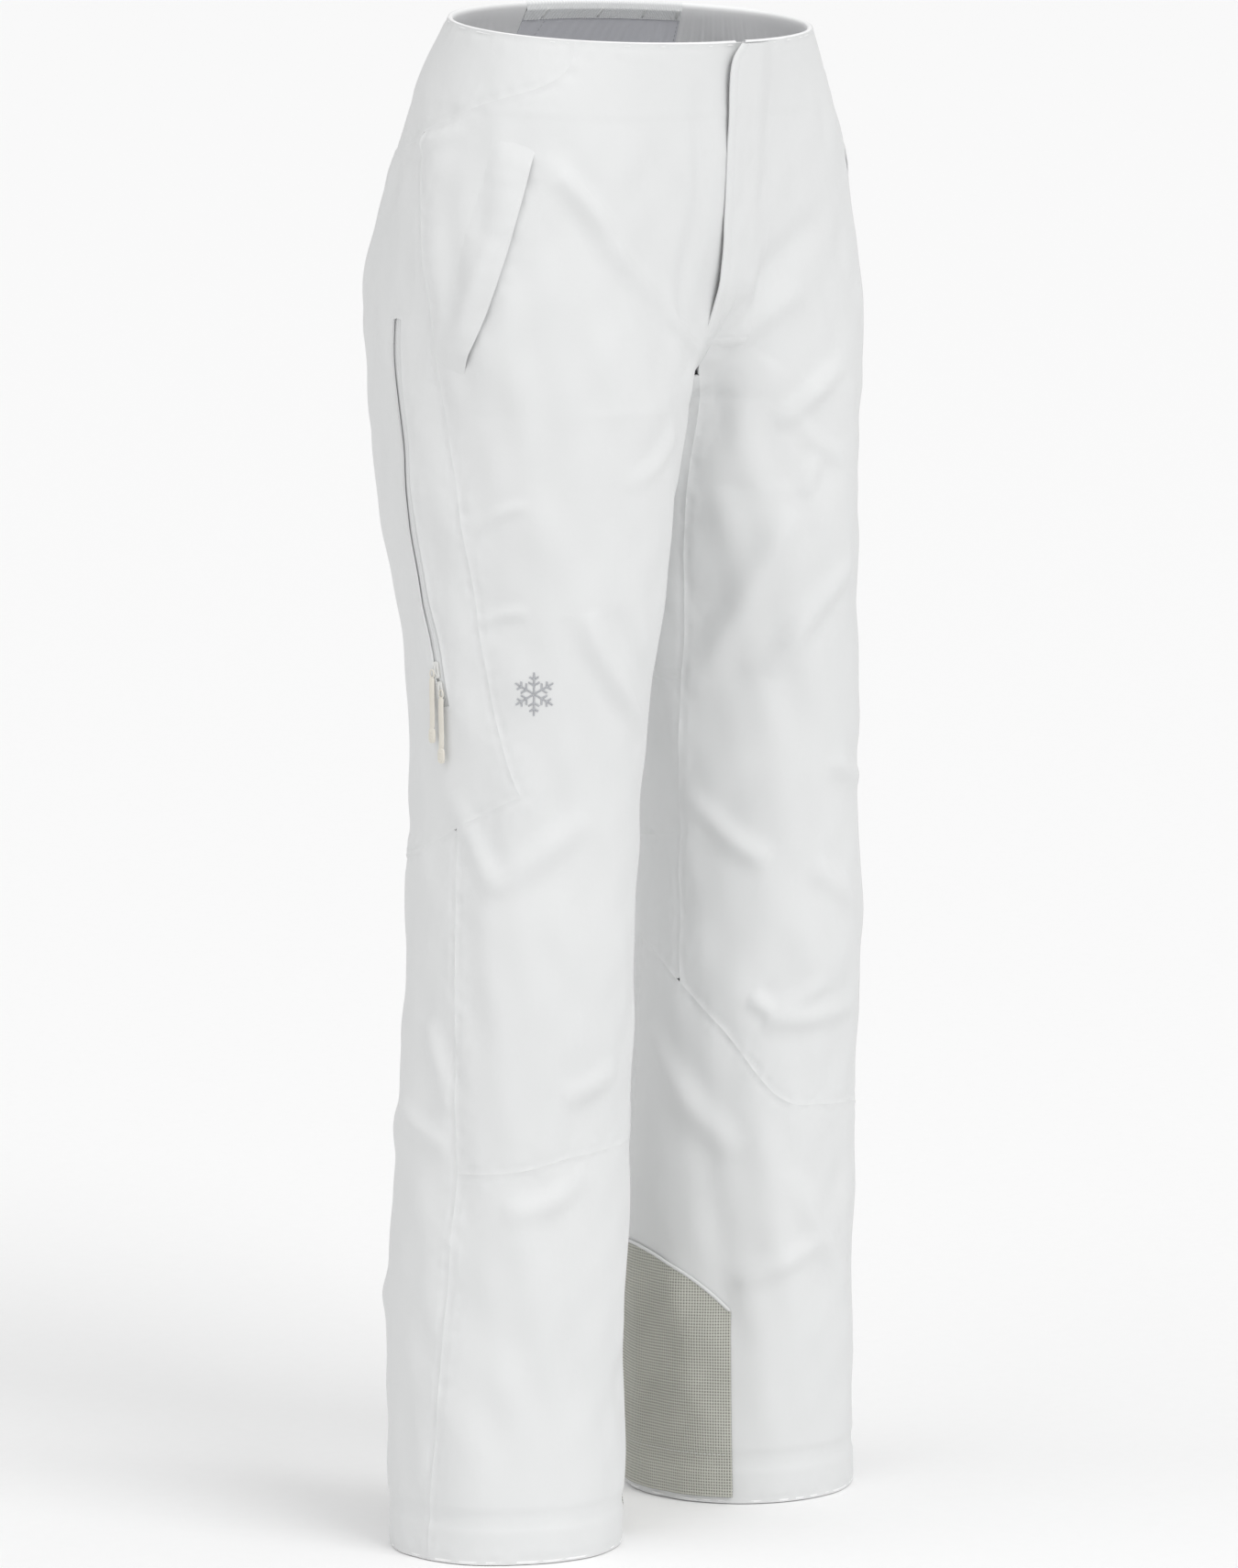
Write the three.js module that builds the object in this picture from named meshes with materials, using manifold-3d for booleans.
// Women's shell ski pants: waist-down trousers with a covered fly, a vent zip on each outer thigh, a hand
// pocket on each hip, a lining, and a snow gaiter inside each hem. Millimetres, +Z up. The wearer faces -Y, the
// wearer's right is -X. The origin is the middle of the waist opening, at the height of its front edge.
import * as THREE from 'three';
import { mergeVertices } from 'three/addons/utils/BufferGeometryUtils.js';
import Module from 'manifold-3d';

const wasm = await Module();
wasm.setup();

// Lengths down the body
const RISE = 246; // front waist edge to crotch
const INSEAM = 788; // crotch to hem
const LENGTH = RISE + INSEAM;
const BACK_LIFT = 22; // how much higher the waist edge stands at the back
const LIFT_FADE = 150; // the lift has gone this far down

// Widths and depths of the body, half measures
const WAIST_HALF_WIDTH = 156;
const HIP_HALF_WIDTH = 197;
const HIP_FRONT = 91;
const HIP_BACK = 153;
const KNEE_HALF_WIDTH = 77;
const HEM_RADIUS = 81;
const LEG_SPREAD = 128.5; // middle of the body to the middle of a hem
const BLEND = 130; // height over which the hips part into two legs

// Cloth layers, measured inwards from the outer face
const SHELL = 2.0;
const LAYER_GAP = 0.4;
const TAPE = 0.9; // woven tape of a zip
const BAG_GAP = 1.9;
const BAG_FROM = SHELL + BAG_GAP;
const BAG = 1;
const FACING_GAP = 1.2;
const FACING_FROM = SHELL + FACING_GAP;
const FACING = 2.1; // quilted band inside the waist
const LINING_GAP = 0.7;
const LINING_FROM = FACING_FROM + FACING + LINING_GAP;
const LINING = 1.0;
const SEAM_GAP = 0.3; // between two panels that are sewn edge to edge

// Parts of the pants
const FACING_DEPTH = 50;
const LINING_OVERLAP = 3; // lining sewn up behind the facing
const HEM_FACING = 32;
const FLY_OVERLAP = 16; // free edge of the flap past the middle, to the wearer's right
const FLY_HINGE = 30; // seam that holds the flap, to the wearer's left
const FLY_TOP = 1;
const FLY_DEPTH = 208; // lowest edge of the flap
const FLY_THICKNESS = 1.6;
const FLY_CHAMFER = 15; // slanted top corner
const FLY_NOTCH = 5; // the slant starts this far to the right of the middle
const FLY_STANDOFF = 4.4; // room for the zip under the flap
const FLY_RAMP = 14; // width over which the flap rises from its seam
const FLY_AXIS_OUT = 2.5; // the flap folds this far in front of its seam
const FLY_TAPE_OUT = 12; // outer edge of a fly tape, from the middle
const SNAP_IN = 9; // press stud, to the right of the middle
const SNAP_DROP = 22;
const SNAP_RADIUS = 4.5;
const SNAP_POST = 1.6;
const SNAP_SIDES = 16;
const SNAP_OVER = 0.2; // the cloth slants behind the stud's flat base
const FLY_ZIP_TOP = 30;
const FLY_ZIP_LENGTH = 120;
const ZIP_CHAIN = 5; // width of the coil
const COIL_BELOW = 1; // the coil lies this far below the outer face
const ZIP_TAPE = 22;
const ZIP_SLOT = 9.5; // gap between the two cloth edges beside a coil
const VENT_DROP = 184; // where the vent zip starts
const VENT_LENGTH = 262; // measured down the body
const POCKET_DROP = 78;
const POCKET_LENGTH = 128;
const SLIDER = { length: 12, width: 6.8, height: 2.4 };
const SLIDER_IN = 0.1; // a slider runs in its slot, this far below the outer face
const SLIDER_APART = 1.5;
const FLAT_SLIDER = { length: 11, width: 7.6, height: 1.4 };
const FLY_PULL = { length: 24, width: 4, height: 1.1 };
const PULL = { length: 50, width: 5, height: 1.6 };
const PULL_OVER = 0.3; // a pull hangs this far in front of its slider
const PULL_FLARE = 0.8; // the end of a pull is this much wider on each side
const PULL_APART = 4.6; // the two pulls of a vent hang side by side
const WELT_FOOT = 4;
const WELT_HEIGHT = 3.8;
const SEAT_PANEL = 243; // the grey panel inside the back of the waist starts at this angle
const ELASTIC_HEIGHT = 11;
const ELASTIC = 1.2;
const HOOK_WIDTH = 9;
const HOOK_HEIGHT = 13;
const GAITER = 250; // height above the hem where the gaiter leaves the lining
const GAITER_CUFF = 20; // its lower edge above the hem
const GAITER_IN = 20; // how far the cuff stands inside the lining
const GRIPPER = 12; // height of the elastic in the cuff
const PATCH = 1.0; // thickness of the instep patch
const PATCH_HEIGHT = 180;

// The grid of the pattern table
const COLUMN = 15; // degrees between columns
const ACROSS = 1.6; // millimetres on the table for one degree round the leg
const TABLE_DOME = 1e-4;
const TABLE_REACH = 200;
const RISE_ROWS = [0, 0.1, 0.2, 0.33, 0.48, 0.55, 0.62, 0.69, 0.76, 0.82, 0.88, 0.95, 1];
const LEG_ROWS = [0.0625, 0.125, 0.1875, 0.25, 0.375, 0.5, 0.625, 0.75, 0.875, 1];

const RIGHT = -1;
const LEFT = 1;
const rad = THREE.MathUtils.degToRad;

// Sections of the hips: share of the rise, half width, front depth, back depth, centre, and how square
// the front and the back are, as the power of a superellipse.
const HIPS = [
  [0, WAIST_HALF_WIDTH, 98.5, 96.5, -1, 2, 2],
  [0.245, (WAIST_HALF_WIDTH + HIP_HALF_WIDTH) / 2, 95, 129, 6, 2.5, 2.05],
  [0.51, HIP_HALF_WIDTH - 6, 92, 147, 10, 3, 2.1],
  [0.75, HIP_HALF_WIDTH, HIP_FRONT, HIP_BACK, 11, 3.3, 2.1],
  [1, HIP_HALF_WIDTH + 1, HIP_FRONT, HIP_BACK, 11, 3.4, 2.1],
];

// Sections of a leg: share of the inseam, half width, half depth, middle out from the centre, middle back.
const LEG = [
  [-0.1, HIP_HALF_WIDTH / 2 + 2, 118, HIP_HALF_WIDTH / 2 + 2, 10],
  [0, HIP_HALF_WIDTH / 2, 112, HIP_HALF_WIDTH / 2, 10],
  [0.1, 90, 104.5, 106, 6],
  [0.227, 79, 89, 114.5, -3],
  [0.36, KNEE_HALF_WIDTH - 2, 81, 119, -5],
  [0.487, KNEE_HALF_WIDTH, 81, 121.5, -5],
  [0.64, 80, 80.5, 124, 1],
  [0.817, HEM_RADIUS + 1, HEM_RADIUS + 1, LEG_SPREAD - 3, 6],
  [1, HEM_RADIUS, HEM_RADIUS, LEG_SPREAD, 6.5],
];

const smoothstep = (t) => THREE.MathUtils.smoothstep(t, 0, 1);

// The border between near, where the test holds, and far, where it doesn't.
function borderBetween(near, far, test) {
  for (let i = 0; i < 36; i++) {
    const half = (near + far) / 2;
    if (test(half)) near = half;
    else far = half;
  }
  return near;
}

// Every column of a table at x, on a smooth curve through its rows.
function interpolate(table, x) {
  const last = table.length - 1;
  const at = THREE.MathUtils.clamp(x, table[0][0], table[last][0]);
  let k = 0;
  while (k < last - 1 && table[k + 1][0] < at) k++;
  const span = table[k + 1][0] - table[k][0];
  const t = (at - table[k][0]) / span;
  const slope = (i, c) => {
    const a = Math.max(i - 1, 0);
    const b = Math.min(i + 1, last);
    return (table[b][c] - table[a][c]) / (table[b][0] - table[a][0]);
  };
  return table[0].slice(1).map((_, i) => {
    const from = table[k][i + 1];
    const to = table[k + 1][i + 1];
    const up = slope(k, i + 1) * span;
    const down = slope(k + 1, i + 1) * span;
    const eased = from * (1 + 2 * t) * (1 - t) ** 2 + to * t * t * (3 - 2 * t);
    return eased + up * t * (1 - t) ** 2 + down * t * t * (t - 1);
  });
}

// Distance from the middle of the right leg to the cloth, in the direction of angle, which runs from the
// inner side (0) over the front (90) and the outer side (180) to the back (270).
function radius(angle, drop) {
  const [width, depth, out] = interpolate(LEG, (drop - RISE) / INSEAM);
  const [hipWidth, front, back, middle, frontPower, backPower] = interpolate(HIPS, drop / RISE);
  const across = Math.cos(rad(angle));
  const along = Math.sin(rad(angle));
  const leg = 1 / Math.hypot(across / width, along / depth);
  const rest = 1 - THREE.MathUtils.clamp((RISE - drop) / BLEND, 0, 1);
  const hipShare = 1 - rest * rest;
  if (hipShare === 0) return leg;
  const centre = middleBack(drop);
  const inside = (r) => {
    const x = -out + r * across;
    const y = centre - r * along - middle;
    const reach = y < 0 ? front + middle : back - middle;
    const power = y < 0 ? frontPower : backPower;
    return Math.abs(x / hipWidth) ** power + Math.abs(y / reach) ** power <= 1;
  };
  return (1 - hipShare) * leg + hipShare * borderBetween(0, 3 * hipWidth, inside);
}

const middleOut = (drop) => interpolate(LEG, (drop - RISE) / INSEAM)[2] + SEAM_GAP / 2;
const middleBack = (drop) => interpolate(LEG, (drop - RISE) / INSEAM)[3];

// A point on the outer face of the right half.
function onBody(angle, drop) {
  const r = radius(angle, drop);
  const x = -middleOut(drop) + r * Math.cos(rad(angle));
  const y = middleBack(drop) - r * Math.sin(rad(angle));
  const rearward = THREE.MathUtils.clamp(y / WAIST_HALF_WIDTH * 1.6, -1, 1);
  const lift = BACK_LIFT * (0.5 + 0.5 * rearward) * smoothstep(1 - drop / LIFT_FADE);
  return new THREE.Vector3(x, y, lift - drop);
}

function outward(angle, drop) {
  const low = Math.min(drop + 2, LENGTH);
  const high = Math.max(drop - 2, 0);
  const round = onBody(angle + 1, drop).sub(onBody(angle - 1, drop));
  const down = onBody(angle, low).sub(onBody(angle, high));
  return round.cross(down).normalize();
}

const ROWS = [
  ...RISE_ROWS.map((share) => share * RISE),
  ...LEG_ROWS.map((share) => RISE + share * INSEAM),
];
const corners = new Map();

// The outer face and its direction outwards at a corner of the grid.
function corner(column, row) {
  const key = `${column},${row}`;
  if (!corners.has(key)) {
    const normal = outward(column * COLUMN, ROWS[row]);
    const level = row === 0 || row >= ROWS.length - 2;
    if (level) normal.setZ(0).normalize();
    corners.set(key, { point: onBody(column * COLUMN, ROWS[row]), normal });
  }
  return corners.get(key);
}

// A point of the right half, out from the outer face by depth (negative is inside). Between the corners of
// the grid the cloth is straight, so layers keep their distance.
function facet(angle, drop, depth) {
  const column = Math.floor(angle / COLUMN);
  const above = ROWS.findLastIndex((row) => row <= drop);
  const row = THREE.MathUtils.clamp(above, 0, ROWS.length - 2);
  const u = angle / COLUMN - column;
  const v = (drop - ROWS[row]) / (ROWS[row + 1] - ROWS[row]);
  const p = new THREE.Vector3();
  const shares = [[0, 0, (1 - u) * (1 - v)], [1, 0, u * (1 - v)], [0, 1, (1 - u) * v], [1, 1, u * v]];
  for (const [i, j, share] of shares) {
    const { point, normal } = corner(column + i, row + j);
    p.addScaledVector(point, share).addScaledVector(normal, share * depth);
  }
  return p;
}

// The same on either half. Nothing crosses the middle of the body.
function place(side, angle, drop, depth) {
  const p = facet(angle, drop, depth);
  p.x = Math.min(p.x, -SEAM_GAP / 2);
  if (side === LEFT) p.x = -p.x;
  return p;
}

// The angle where the right half meets the middle of the body: at the front, or at the back.
function middleAngle(drop, back) {
  if (drop >= RISE) return back ? 360 : 0;
  const pastMiddle = (angle) => facet(angle, drop, 0).x > -SEAM_GAP / 2;
  return back ? borderBetween(360, 250, pastMiddle) : borderBetween(0, 110, pastMiddle);
}

// ---- Cutting and wrapping -------------------------------------------------------------------------------

function toSolid(geometry) {
  const bare = geometry.index ? geometry.toNonIndexed() : geometry.clone();
  bare.deleteAttribute('normal');
  bare.deleteAttribute('uv');
  const merged = mergeVertices(bare, 1e-4);
  const mesh = new wasm.Mesh({
    numProp: 3,
    vertProperties: merged.attributes.position.array,
    triVerts: new Uint32Array(merged.index.array),
  });
  return new wasm.Manifold(mesh);
}

function toGeometry(solid) {
  const { vertProperties, triVerts } = solid.getMesh();
  const geometry = new THREE.BufferGeometry();
  geometry.setAttribute('position', new THREE.BufferAttribute(vertProperties, 3));
  geometry.setIndex(new THREE.BufferAttribute(triVerts, 1));
  return geometry;
}

// A closed outline moved inwards by distance, corner by corner.
function inset(points, distance) {
  const turn = THREE.ShapeUtils.area(points) > 0 ? 1 : -1;
  const count = points.length;
  return points.map((point, i) => {
    const before = point.clone().sub(points[(i + count - 1) % count]).normalize();
    const after = points[(i + 1) % count].clone().sub(point).normalize();
    const bisector = new THREE.Vector2(-before.y - after.y, before.x + after.x).normalize();
    const lean = Math.max(0.3, bisector.dot(new THREE.Vector2(-before.y, before.x)));
    return point.clone().addScaledVector(bisector, turn * distance / lean);
  });
}

const onTable = ([angle, drop]) => new THREE.Vector2(angle * ACROSS, -drop);

// The table is a very shallow dome, so a cut keeps a corner wherever it crosses a grid line.
const tableHeight = (x, y) => TABLE_DOME * ((x - 180 * ACROSS) ** 2 + (y + LENGTH / 2) ** 2);

// The straight-sided block over an outline, from under the table to well above it.
function prism(outline, margin = 0) {
  const flat = outline.map(onTable).filter((p, i, all) => p.distanceTo(all.at(i - 1)) > 0.05);
  const shape = new THREE.Shape(margin ? inset(flat, margin) : flat);
  const block = new THREE.ExtrudeGeometry(shape, { depth: 2 * TABLE_REACH, bevelEnabled: false });
  return toSolid(block.translate(0, 0, -TABLE_REACH));
}

function rowsBetween(top, bottom) {
  const first = ROWS.findLast((row) => row <= top);
  const last = ROWS.find((row) => row >= bottom) ?? LENGTH;
  return ROWS.filter((row) => row >= first && row <= last);
}

// A flat sheet of cloth, with grid lines on the table's columns and rows, so that it bends where its
// neighbours do.
function sheet(outline, low, high) {
  const angles = outline.map((p) => p[0]);
  const drops = outline.map((p) => p[1]);
  const first = Math.floor(Math.min(...angles) / COLUMN);
  const columns = Math.ceil(Math.max(...angles) / COLUMN) - first;
  const rows = rowsBetween(Math.min(...drops), Math.max(...drops));
  const block = new THREE.BoxGeometry(1, 1, 1, columns, rows.length - 1, 1);
  const position = block.attributes.position;
  for (let i = 0; i < position.count; i++) {
    const column = Math.round((position.getX(i) + 0.5) * columns);
    const row = rows[Math.round((0.5 - position.getY(i)) * (rows.length - 1))];
    const x = (first + column) * COLUMN * ACROSS;
    position.setXYZ(i, x, -row, (position.getZ(i) > 0 ? high : low) + tableHeight(x, -row));
  }
  return toSolid(block);
}

// Bends a flat solid round one half of the body.
function wrap(solid, side, taper = () => 0) {
  const geometry = toGeometry(solid);
  const position = geometry.attributes.position;
  for (let i = 0; i < position.count; i++) {
    const [x, y, z] = [position.getX(i), position.getY(i), position.getZ(i)];
    const depth = z - tableHeight(x, y) + taper(-y);
    position.setXYZ(i, ...place(side, x / ACROSS, -y, depth));
  }
  if (side === RIGHT) turnInsideOut(geometry);
  return geometry;
}

function turnInsideOut(geometry) {
  const index = geometry.index.array;
  for (let i = 0; i < index.length; i += 3) {
    const first = index[i];
    index[i] = index[i + 1];
    index[i + 1] = first;
  }
}

// One layer of cloth: the outline cut from a sheet, with slots, as a flat solid.
function cloth(outline, low, high, slots = []) {
  let flat = sheet(outline, low, high).intersect(prism(outline, SEAM_GAP / 2));
  for (const slot of slots) flat = flat.subtract(prism(slot));
  return flat;
}

// ---- Seams, as lists of [angle, drop] --------------------------------------------------------------------

// A smooth seam through the given points.
function seam(points, stepsPerSpan = 2) {
  const spline = new THREE.SplineCurve(points.map((p) => new THREE.Vector2(...p)));
  return spline.getPoints((points.length - 1) * stepsPerSpan).map((p) => [p.x, p.y]);
}

const GUSSET_UP = 21; // the gusset starts this far above the crotch
const GUSSET_DOWN = 201;
const below = (distance) => RISE + distance; // down the leg, from the crotch
const middleDrops = (top, bottom) => {
  const near = [2.5, 8, 16].map((up) => RISE - up);
  const drops = [...RISE_ROWS.map((share) => share * RISE), ...near, top, bottom];
  return [...new Set(drops)].filter((d) => d >= top && d <= bottom).sort((a, b) => a - b);
};
const centreFront = (top, bottom) => middleDrops(top, bottom).map((d) => [middleAngle(d, false), d]);
const centreBack = (top, bottom) => middleDrops(top, bottom).map((d) => [middleAngle(d, true), d]);

const YOKE_FRONT = 112; // where the yoke seam runs out into the waist edge
const YOKE_BACK = 90; // depth of the yoke at the centre back
const yokeSeam = seam([
  [YOKE_FRONT, 0],
  [117, 18],
  [131, 31],
  [161, 45],
  [180, 56],
  [199, 67],
]);
const yokeSeamBack = seam([
  [199, 67],
  [224, 79],
  [262, 87],
  [middleAngle(YOKE_BACK, true), YOKE_BACK],
]);
const sideFrontSeam = seam([
  [199, 67],
  [184, 150],
  [176, 228],
  [166, below(93)],
  [163, below(141)],
  [157, below(198)],
  [148, below(240)],
  [142, below(258)],
]);
const thighSeamFront = seam([
  [142, below(258)],
  [160, below(270)],
  [178, below(282)],
]);
const thighSeamBack = seam([
  [178, below(282)],
  [196, below(294)],
  [222, below(306)],
  [272, below(318)],
  [320, below(318)],
  [362, below(310)],
]);
const lowerSideSeam = seam([
  [178, below(282)],
  [178, below(342)],
  [174, below(429)],
  [169, below(519)],
]);
const shinSideSeam = seam([
  [169, below(519)],
  [173, below(660)],
  [178, below(740)],
  [179, LENGTH],
]);
const kneeSeam = seam([
  [169, below(519)],
  [139, below(516)],
  [112, below(508)],
  [85, below(505)],
  [58, below(497)],
  [29, below(450)],
  [2, below(417)],
]);
const kneeSeamInner = seam([
  [2, below(417)],
  [-18, below(398)],
  [-35, below(390)],
]);
const innerSeam = seam([
  [7, below(GUSSET_DOWN)],
  [2, below(285)],
  [2, below(310)],
]);
const innerSeamLow = seam([
  [2, below(310)],
  [-1, below(345)],
  [2, below(417)],
]);
const gussetFront = seam([
  [middleAngle(RISE - GUSSET_UP, false), RISE - GUSSET_UP],
  [34, below(14)],
  [28, below(51)],
  [19, below(108)],
  [7, below(GUSSET_DOWN)],
]);
const gussetBack = seam([
  [middleAngle(RISE - GUSSET_UP, true), RISE - GUSSET_UP],
  [326, below(14)],
  [332, below(51)],
  [341, below(108)],
  [350, below(GUSSET_DOWN)],
]);
const SHIN_BACK = -35; // the shin panel runs round the inner side to here
const turned = (points, degrees) => points.map(([angle, drop]) => [angle + degrees, drop]);
const back = (points) => points.toReversed();

// A strip of the given width along a path.
function strip(path, width) {
  const flat = path.map(onTable);
  const offset = (point, i, sign) => {
    const along = flat[Math.min(i + 1, flat.length - 1)].clone().sub(flat[Math.max(i - 1, 0)]);
    const moved = new THREE.Vector2(-along.y, along.x).setLength(sign * width / 2).add(point);
    return [moved.x / ACROSS, -moved.y];
  };
  return [...flat.map((p, i) => offset(p, i, 1)), ...back(flat.map((p, i) => offset(p, i, -1)))];
}

// The line of a zip, through three points. It lies in their plane, so that a slider can follow one arc.
function zipPath(points, stepsPerSpan) {
  const [a, b, c] = points.map(([angle, drop]) => facet(angle, drop, 0));
  const across = b.clone().sub(a).cross(c.clone().sub(a));
  return seam(points, stepsPerSpan).map(([angle, drop]) => {
    const side = (at) => Math.sign(facet(at, drop, 0).sub(a).dot(across));
    const first = side(angle - 8);
    return [borderBetween(angle - 8, angle + 8, (at) => side(at) === first), drop];
  });
}

const ventPath = zipPath([
  [200.5, VENT_DROP],
  [195.5, VENT_DROP + VENT_LENGTH / 2],
  [184.5, VENT_DROP + VENT_LENGTH],
], 6);
const pocketPath = zipPath([
  [141.5, POCKET_DROP],
  [152.5, POCKET_DROP + POCKET_LENGTH / 2],
  [167, POCKET_DROP + POCKET_LENGTH],
], 3);

// ---- Pieces ---------------------------------------------------------------------------------------------

const material = (color, roughness, metalness = 0) =>
  new THREE.MeshStandardMaterial({ color, roughness, metalness });
const shellCloth = material(0xe4e6e7, 0.8);
const liningCloth = material(0xd3d6da, 0.7);
const facingCloth = material(0xdfe2e3, 0.9);
const greyKnit = material(0xc4c5cc, 0.95);
const patchCloth = material(0xa6a69e, 0.85);
const tapeCloth = material(0xd8dadb, 0.85);
const mouldedPull = material(0xe3dfd7, 0.5);
const mouldedSlider = material(0xe8e8e6, 0.4);
const snapMetal = material(0xb9bcc0, 0.3, 0.9);

const pants = new THREE.Group();

function add(parent, name, geometry, finish) {
  const mesh = new THREE.Mesh(geometry, finish);
  mesh.name = name;
  parent.add(mesh);
  return mesh;
}

function pair(name, flat, finish, taper) {
  for (const side of [RIGHT, LEFT]) {
    const ending = side === RIGHT ? 'right' : 'left';
    add(pants, `${name}_${ending}`, wrap(flat, side, taper), finish);
  }
}

// The slot that the fly zip shows through: its half on each front panel.
function flySlot() {
  const drops = [FLY_ZIP_TOP, FLY_ZIP_TOP + FLY_ZIP_LENGTH / 2, FLY_ZIP_TOP + FLY_ZIP_LENGTH];
  const edge = drops.map((drop) => [angleAtX(ZIP_SLOT / 2, drop), drop]);
  const middle = drops.map((drop) => [middleAngle(drop, false) - 8, drop]);
  return [...middle, ...back(edge)];
}

// The angle on the front of the right half that lies a distance out from the middle.
function angleAtX(distance, drop) {
  return borderBetween(middleAngle(drop, false) - 5, 120, (angle) => facet(angle, drop, 0).x > -distance);
}

function shell() {
  const front = [
    ...centreFront(0, RISE - GUSSET_UP),
    ...gussetFront,
    ...innerSeam,
    ...innerSeamLow,
    ...back(kneeSeam),
    ...back(lowerSideSeam),
    ...back(thighSeamFront),
    ...back(sideFrontSeam),
    ...back(yokeSeam),
  ];
  const slots = [flySlot(), strip(pocketPath, ZIP_SLOT)];
  pair('front_panel', cloth(front, -SHELL, 0, slots), shellCloth);

  const thigh = [
    ...sideFrontSeam,
    ...thighSeamFront,
    ...thighSeamBack,
    ...back(turned(innerSeam, 360)),
    ...back(gussetBack),
    ...back(centreBack(YOKE_BACK, RISE - GUSSET_UP)),
    ...back(yokeSeamBack),
  ];
  pair('thigh_panel', cloth(thigh, -SHELL, 0, [strip(ventPath, ZIP_SLOT)]), shellCloth);

  const yoke = [...yokeSeam, ...yokeSeamBack, ...back(centreBack(0, YOKE_BACK))];
  pair('back_yoke', cloth(yoke, -SHELL, 0), shellCloth);

  const shin = [
    ...kneeSeam,
    ...kneeSeamInner,
    [SHIN_BACK, LENGTH],
    ...back(shinSideSeam),
  ];
  pair('shin_panel', cloth(shin, -SHELL, 0), shellCloth);

  const calf = [
    ...lowerSideSeam,
    ...shinSideSeam,
    [SHIN_BACK + 360, LENGTH],
    ...back(turned(kneeSeamInner, 360)),
    ...back(turned(innerSeamLow, 360)),
    ...back(thighSeamBack),
  ];
  pair('calf_panel', cloth(calf, -SHELL, 0), shellCloth);

  const gusset = [
    ...gussetFront,
    ...back(turned(gussetBack, -360)),
    ...turned(centreBack(RISE - GUSSET_UP, RISE), -360),
    ...back(centreFront(RISE - GUSSET_UP, RISE)),
  ];
  pair('crotch_gusset', cloth(gusset, -SHELL, 0), shellCloth);

  const top = LENGTH - PATCH_HEIGHT;
  const patch = [
    [36, LENGTH - 5],
    [37, LENGTH - 71],
    ...seam([
      [35, top + 40],
      [9, top + 13],
      [-24, top],
      [-48, top + 12],
      [-62, top + 44],
    ]),
    [-65, LENGTH - 5],
  ];
  pair('instep_patch', cloth(patch, LAYER_GAP, LAYER_GAP + PATCH), patchCloth);
}

function insides() {
  const facing = (from, to) => [...from, ...back(to)];
  const low = -FACING_FROM - FACING;
  const high = -FACING_FROM;
  const straight = (angle) => [[angle, 1], [angle, FACING_DEPTH]];
  const drops = [1, FACING_DEPTH / 2, FACING_DEPTH];
  const clearOfFly = drops.map((drop) => [angleAtX(FLY_TAPE_OUT + 1, drop), drop]);
  const right = cloth(facing(clearOfFly, centreBack(1, FACING_DEPTH)), low, high);
  const left = cloth(facing(clearOfFly, straight(SEAT_PANEL)), low, high);
  const seat = cloth(facing(straight(SEAT_PANEL), centreBack(1, FACING_DEPTH)), low, high);
  const elastic = cloth([
    [SEAT_PANEL + 1, 1.5],
    [SEAT_PANEL + 1, 1.5 + ELASTIC_HEIGHT],
    [middleAngle(5, true) - 1, 1.5 + ELASTIC_HEIGHT],
    [middleAngle(5, true) - 1, 1.5],
  ], low - LAYER_GAP - ELASTIC, low - LAYER_GAP);
  add(pants, 'waist_facing_right', wrap(right, RIGHT), facingCloth);
  add(pants, 'waist_facing_left', wrap(left, LEFT), facingCloth);
  add(pants, 'seat_facing', wrap(seat, LEFT), greyKnit);
  add(pants, 'back_elastic', wrap(elastic, LEFT), facingCloth);

  const top = FACING_DEPTH - LINING_OVERLAP;
  const bottom = LENGTH - HEM_FACING + LINING_OVERLAP;
  const lining = [
    ...centreFront(top, RISE),
    [0, bottom],
    [360, bottom],
    ...back(centreBack(top, RISE)),
  ];
  pair('lining', cloth(lining, -LINING_FROM - LINING, -LINING_FROM), liningCloth);

  const hem = tube(LENGTH - HEM_FACING, LENGTH - 0.5, LINING_FROM - SHELL - 2 * LAYER_GAP, SHELL + LAYER_GAP);
  pair('hem_facing', hem, facingCloth);

  const gaiterTop = LENGTH - GAITER;
  const gaiterLow = LENGTH - GAITER_CUFF;
  const behindLining = LINING_FROM + LINING + LAYER_GAP;
  const taper = (drop) => -GAITER_IN * THREE.MathUtils.clamp((drop - gaiterTop) / 60, 0, 1);
  pair('gaiter', tube(gaiterTop, gaiterLow, 1, behindLining), liningCloth, taper);
  const elasticIn = behindLining + 1 + LAYER_GAP;
  pair('gaiter_elastic', tube(gaiterLow - GRIPPER, gaiterLow - 1, 1.2, elasticIn), facingCloth, taper);
}

// A flat strip that wraps right round one leg, open by a seam's gap on the inner side.
function tube(top, bottom, thickness, from) {
  const outline = [[0, top], [0, bottom], [360, bottom], [360, top]];
  return cloth(outline, -from - thickness, -from);
}

function pockets() {
  const drop = (share) => POCKET_DROP + POCKET_LENGTH * share;
  const bag = [
    [128, drop(-0.08)],
    [102, drop(0.1)],
    [94, drop(0.6)],
    [98, drop(1.45)],
    [112, drop(1.62)],
    [140, drop(1.6)],
    [160, drop(1.3)],
    [171, drop(1.08)],
    [160, drop(0.6)],
    [147, drop(-0.04)],
  ];
  pair('pocket_bag', cloth(bag, -BAG_FROM - BAG, -BAG_FROM), liningCloth);
}

// ---- Zips -----------------------------------------------------------------------------------------------

const ZIP_TAPE_FACE = -SHELL - LAYER_GAP;

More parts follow.
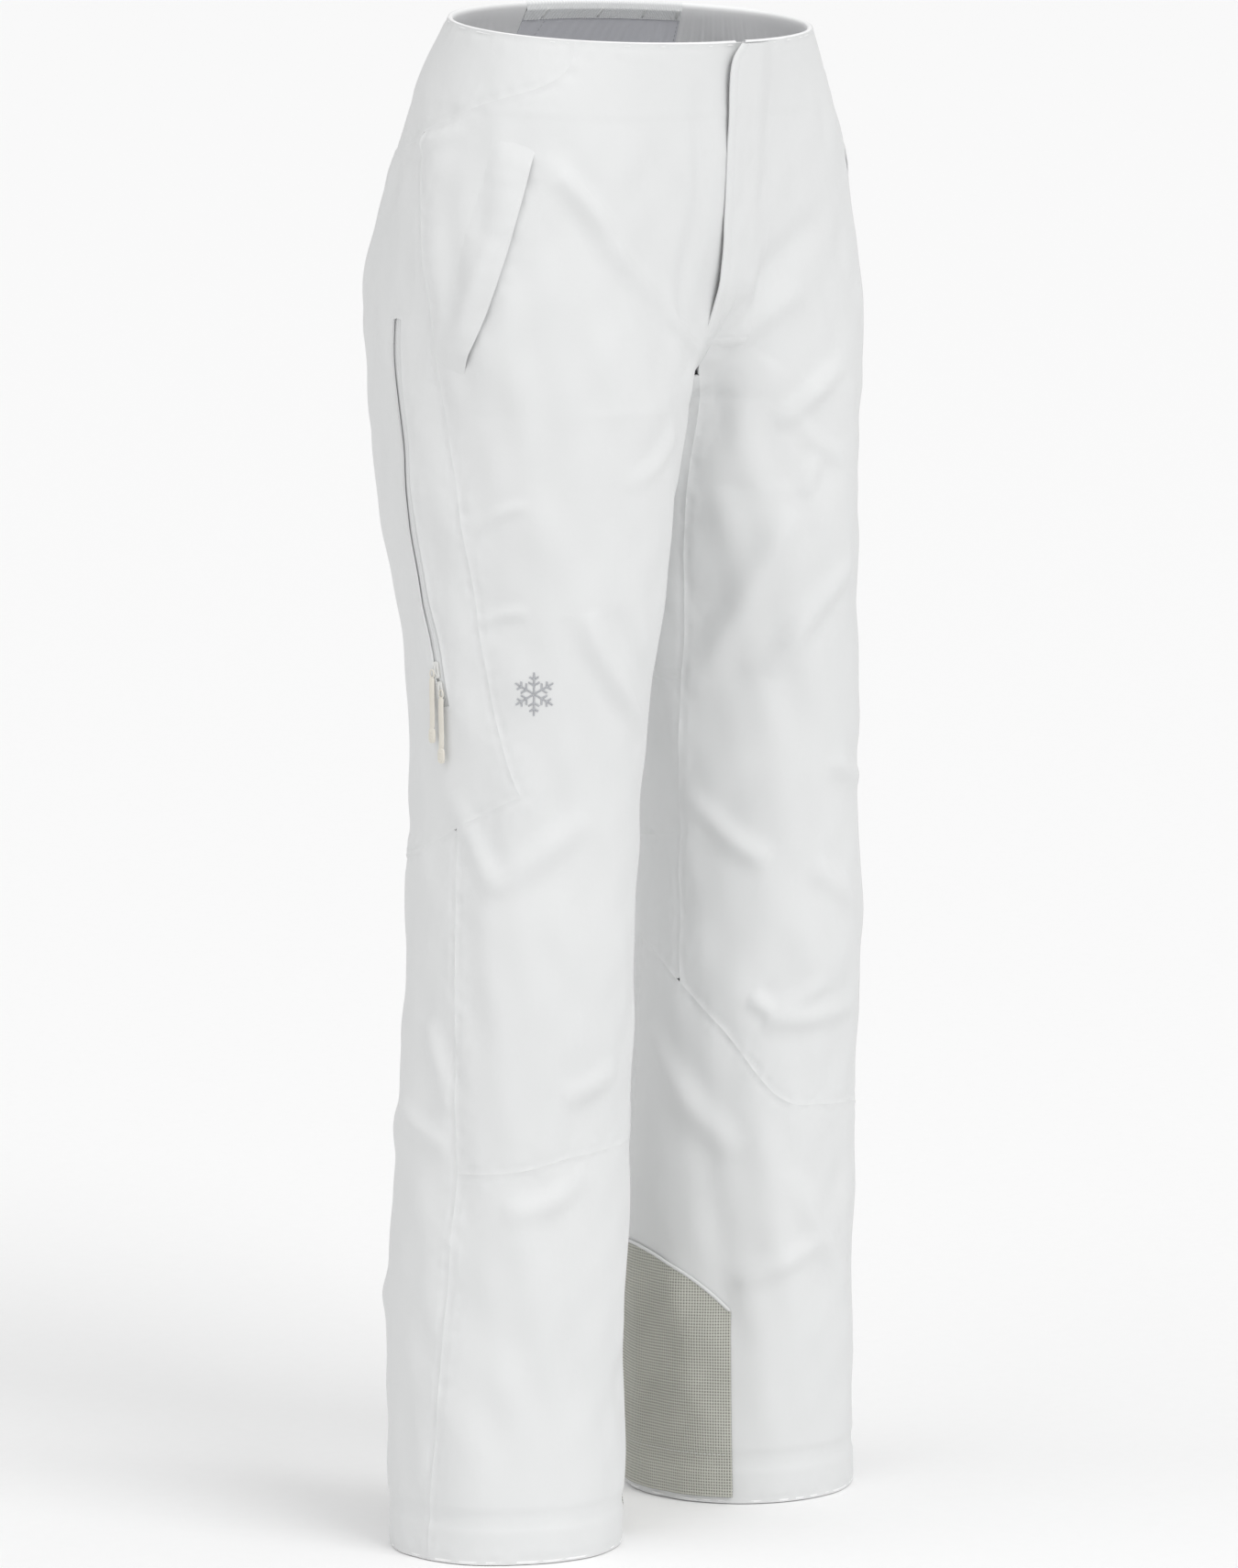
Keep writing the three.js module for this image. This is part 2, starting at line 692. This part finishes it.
// Coil and tape behind a slot: the tape lies flat inside the shell, the coil stands up into the slot.
function zip(name, path) {
  const tape = cloth(strip(path, ZIP_TAPE), ZIP_TAPE_FACE - TAPE, ZIP_TAPE_FACE);
  const coil = cloth(strip(path, ZIP_CHAIN), ZIP_TAPE_FACE - TAPE, -COIL_BELOW);
  pair(name, tape.add(coil), tapeCloth);
}

// The circle through three points of a path, as a frame: its origin is the circle's centre, +X points to
// the start of the path, +Z is the axis, and +Y is the way along the path.
function circleFrame(side, path) {
  const [a, b, c] = [path[0], path[(path.length - 1) / 2], path.at(-1)]
    .map(([angle, drop]) => place(side, angle, drop, 0));
  const ab = b.clone().sub(a);
  const ac = c.clone().sub(a);
  const axis = ab.clone().cross(ac);
  const centre = axis.clone().cross(ab).multiplyScalar(ac.lengthSq())
    .add(ac.clone().cross(axis).multiplyScalar(ab.lengthSq()))
    .divideScalar(2 * axis.lengthSq())
    .add(a);
  axis.normalize();
  const start = a.clone().sub(centre).normalize();
  const end = c.clone().sub(centre).normalize();
  const group = new THREE.Group();
  const turn = new THREE.Matrix4().makeBasis(start, axis.clone().cross(start), axis);
  group.quaternion.setFromRotationMatrix(turn);
  group.position.copy(centre);
  group.updateMatrixWorld(true);
  return { group, radius: a.distanceTo(centre), sweep: start.angleTo(end) };
}

// A slider body: a block with slanted corners, its length along Y and its height up Z.
function sliderBlock({ length, width, height }) {
  const outline = [
    [-width / 2, -length / 2 + 2],
    [-width / 4, -length / 2],
    [width / 4, -length / 2],
    [width / 2, -length / 2 + 2],
    [width / 2, length / 2 - 3],
    [width / 4, length / 2],
    [-width / 4, length / 2],
    [-width / 2, length / 2 - 3],
  ];
  const shape = new THREE.Shape(outline.map((p) => new THREE.Vector2(...p)));
  return new THREE.ExtrudeGeometry(shape, { depth: height, bevelEnabled: false });
}

// A pull: a flat tab that hangs down from its pin, which runs along X through the origin and the middle of the
// tab's thickness.
function pullTab({ length, width, height }) {
  const outline = [
    [-width / 2, 0],
    [-width / 2 - PULL_FLARE, -length + 3],
    [-width / 4, -length],
    [width / 4, -length],
    [width / 2 + PULL_FLARE, -length + 3],
    [width / 2, 0],
  ];
  const shape = new THREE.Shape(outline.map((p) => new THREE.Vector2(...p)));
  const tab = new THREE.ExtrudeGeometry(shape, { depth: height, bevelEnabled: false });
  return tab.translate(0, 0, -height / 2).rotateX(Math.PI / 2);
}

// A slider on an arc, share of the way along it, and its hanging pull, moved sideways from the slider's
// middle, towards the wearer's back.
function sliderOn(side, path, name, size, share, sideways) {
  const { group, radius: arc, sweep } = circleFrame(side, path);
  group.name = `${name}_arc`;
  pants.add(group);
  const [angle, drop] = path[Math.round(share * (path.length - 1))];
  const normal = place(side, angle, drop, 1).sub(place(side, angle, drop, 0)).normalize();
  const on = new THREE.Group();
  on.rotation.z = sweep * share;
  group.add(on);
  on.updateWorldMatrix(true, false);
  const spot = on.localToWorld(new THREE.Vector3(arc, 0, 0));
  const along = on.localToWorld(new THREE.Vector3(arc, 1, 0)).sub(spot);
  const out = normal.addScaledVector(along, -normal.dot(along)).normalize();
  const turn = new THREE.Matrix4().makeBasis(along.clone().cross(out), along, out);
  const toArc = on.matrixWorld.clone().invert();
  const block = sliderBlock(size).translate(0, 0, -SLIDER_IN).applyMatrix4(turn);
  add(on, name, block.translate(...spot).applyMatrix4(toArc), mouldedSlider);
  if (sideways === undefined) return;
  const pin = new THREE.Group();
  pin.name = `${name.replace('slider', 'pull')}_pin`;
  pin.position.copy(spot).addScaledVector(out, size.height - SLIDER_IN + PULL_OVER + PULL.height / 2);
  pin.position.y += sideways;
  pin.rotation.z = Math.atan2(out.x, -out.y);
  pants.add(pin);
  add(pin, name.replace('slider', 'pull'), pullTab(PULL), mouldedPull);
}

function vents() {
  zip('vent_zip', ventPath);
  for (const side of [RIGHT, LEFT]) {
    const ending = side === RIGHT ? 'right' : 'left';
    const low = 1 - SLIDER.length / VENT_LENGTH;
    const high = low - (SLIDER.length + SLIDER_APART) / VENT_LENGTH;
    sliderOn(side, ventPath, `vent_lower_slider_${ending}`, SLIDER, low, -PULL_APART / 2);
    sliderOn(side, ventPath, `vent_upper_slider_${ending}`, SLIDER, high, PULL_APART / 2);
  }
}

// A path moved sideways on the table, towards the back.
function beside(path, distance) {
  const shifted = strip(path, 2 * Math.abs(distance));
  const half = shifted.length / 2;
  return distance < 0 ? shifted.slice(0, half) : back(shifted.slice(half));
}

function pocketZips() {
  zip('pocket_zip', pocketPath);
  const foot = ZIP_SLOT / 2 + WELT_FOOT / 2 + LAYER_GAP;
  const base = cloth(strip(beside(pocketPath, foot), WELT_FOOT), LAYER_GAP, WELT_HEIGHT);
  const lip = cloth(strip(beside(pocketPath, 0.5), ZIP_SLOT + 2 * WELT_FOOT), WELT_HEIGHT - 1, WELT_HEIGHT);
  pair('pocket_welt', base.add(lip), shellCloth);
  for (const side of [RIGHT, LEFT]) {
    const ending = side === RIGHT ? 'right' : 'left';
    sliderOn(side, pocketPath, `pocket_slider_${ending}`, FLAT_SLIDER, SLIDER.length / POCKET_LENGTH);
  }
}

// ---- Fly ------------------------------------------------------------------------------------------------

// The flap's inner face: flat across the middle, and close to the cloth at its seam.
function flapPoint(x, drop, out) {
  const under = facet(angleAtX(Math.max(Math.abs(x), FLY_OVERLAP), drop), drop, 0);
  const lifted = LAYER_GAP + (FLY_STANDOFF - LAYER_GAP) * smoothstep((FLY_HINGE - x) / FLY_RAMP);
  return new THREE.Vector3(x, under.y - lifted - out, under.z);
}

function fly() {
  const columns = 8;
  const rows = 9;
  const flap = new THREE.BoxGeometry(1, 1, 1, columns, rows, 1);
  const position = flap.attributes.position;
  for (let i = 0; i < position.count; i++) {
    const x = -FLY_OVERLAP + (FLY_OVERLAP + FLY_HINGE) * (position.getX(i) + 0.5);
    const corner = THREE.MathUtils.clamp((-FLY_NOTCH - x) / (FLY_OVERLAP - FLY_NOTCH), 0, 1);
    const top = FLY_TOP + FLY_CHAMFER * corner;
    const drop = top + (FLY_DEPTH - top) * (0.5 - position.getY(i));
    const out = position.getZ(i) > 0 ? FLY_THICKNESS : 0;
    position.setXYZ(i, ...flapPoint(x, drop, out));
  }
  const seamTop = flapPoint(FLY_HINGE, FLY_TOP, FLY_THICKNESS);
  const seamLow = flapPoint(FLY_HINGE, FLY_DEPTH, FLY_THICKNESS);
  const hinge = new THREE.Group();
  hinge.name = 'fly_flap_hinge';
  hinge.position.copy(seamTop).add(new THREE.Vector3(0, -FLY_AXIS_OUT, 0));
  const up = seamTop.clone().sub(seamLow).normalize();
  hinge.quaternion.setFromUnitVectors(new THREE.Vector3(0, 0, 1), up);
  hinge.updateMatrix();
  const toHinge = hinge.matrix.clone().invert();
  pants.add(hinge);
  add(hinge, 'fly_flap', flap.applyMatrix4(toHinge), shellCloth);

  const waist = new THREE.Vector3(-SNAP_IN, 0, -SNAP_DROP);
  waist.y = facet(angleAtX(SNAP_IN, SNAP_DROP), SNAP_DROP, SNAP_OVER).y;
  const stud = new THREE.LatheGeometry([
    [0, LAYER_GAP],
    [SNAP_RADIUS, LAYER_GAP],
    [SNAP_RADIUS, LAYER_GAP + 0.8],
    [SNAP_POST, LAYER_GAP + 0.8],
    [SNAP_POST, FLY_STANDOFF - 1.8],
    [0, FLY_STANDOFF - 1.8],
  ].map((p) => new THREE.Vector2(...p)), SNAP_SIDES);
  add(pants, 'waist_snap_stud', stud.rotateX(Math.PI).translate(...waist), snapMetal);
  const low = LAYER_GAP + 1.2;
  const high = FLY_STANDOFF - 1.2;
  const ringBore = SNAP_POST + LAYER_GAP;
  const socket = new THREE.LatheGeometry([
    [ringBore, low],
    [SNAP_RADIUS, low],
    [SNAP_RADIUS, high],
    [ringBore, high],
    [ringBore, low],
  ].map((p) => new THREE.Vector2(...p)), SNAP_SIDES);
  socket.rotateX(Math.PI).translate(...waist);
  add(hinge, 'flap_snap_socket', socket.applyMatrix4(toHinge), snapMetal);

  const [top, end] = [FLY_ZIP_TOP, FLY_ZIP_TOP + FLY_ZIP_LENGTH]
    .map((drop) => place(RIGHT, middleAngle(drop, false), drop, 0).setX(0));
  const track = new THREE.Group();
  track.name = 'fly_track';
  track.position.copy(top);
  track.quaternion.setFromUnitVectors(new THREE.Vector3(0, 0, -1), end.clone().sub(top).normalize());
  pants.add(track);
  const length = top.distanceTo(end) - 2;
  const coilHeight = SHELL + LAYER_GAP + TAPE - COIL_BELOW;
  const coil = new THREE.BoxGeometry(ZIP_CHAIN, coilHeight, length);
  add(track, 'fly_coil', coil.translate(0, COIL_BELOW + coilHeight / 2, -length / 2 - 1), tapeCloth);
  const block = sliderBlock(FLAT_SLIDER).rotateX(Math.PI / 2);
  add(track, 'fly_slider', block.translate(0, SLIDER_IN, -FLAT_SLIDER.length / 2 - 1), mouldedSlider);
  const tabOut = FLAT_SLIDER.height - SLIDER_IN + PULL_OVER + FLY_PULL.height / 2;
  const tab = pullTab(FLY_PULL).translate(0, -tabOut, -FLAT_SLIDER.length / 2);
  add(track, 'fly_pull', tab, mouldedPull);

  const drops = [FLY_ZIP_TOP, FLY_ZIP_TOP + FLY_ZIP_LENGTH / 2, FLY_ZIP_TOP + FLY_ZIP_LENGTH];
  const inner = drops.map((drop) => [angleAtX(ZIP_CHAIN / 2 + LAYER_GAP, drop), drop]);
  const outer = drops.map((drop) => [angleAtX(FLY_TAPE_OUT, drop), drop]);
  pair('fly_tape', cloth([...inner, ...back(outer)], ZIP_TAPE_FACE - TAPE, ZIP_TAPE_FACE), tapeCloth);
}

// ---- Gaiter hooks ---------------------------------------------------------------------------------------

function laceHooks() {
  const plate = 1;
  const reach = 4;
  const outline = [
    [0, HOOK_HEIGHT],
    [0, 0],
    [reach, 0],
    [reach, 5],
    [reach - plate, 5],
    [reach - plate, plate],
    [plate, plate],
    [plate, HOOK_HEIGHT],
  ];
  const shape = new THREE.Shape(outline.map((p) => new THREE.Vector2(...p)));
  const cuff = LENGTH - GAITER_CUFF;
  const inside = LINING_FROM + LINING + LAYER_GAP + GAITER_IN;
  for (const side of [RIGHT, LEFT]) {
    const hook = new THREE.ExtrudeGeometry(shape, { depth: HOOK_WIDTH, bevelEnabled: false });
    hook.translate(0, 0, -HOOK_WIDTH / 2).rotateX(Math.PI / 2).rotateZ(-Math.PI / 2);
    const mesh = add(pants, side === RIGHT ? 'lace_hook_right' : 'lace_hook_left', hook, snapMetal);
    mesh.position.copy(place(side, 90, cuff, -inside)).add(new THREE.Vector3(0, -LAYER_GAP, 0));
  }
}

shell();
insides();
pockets();
vents();
pocketZips();
fly();
laceHooks();

export default pants;
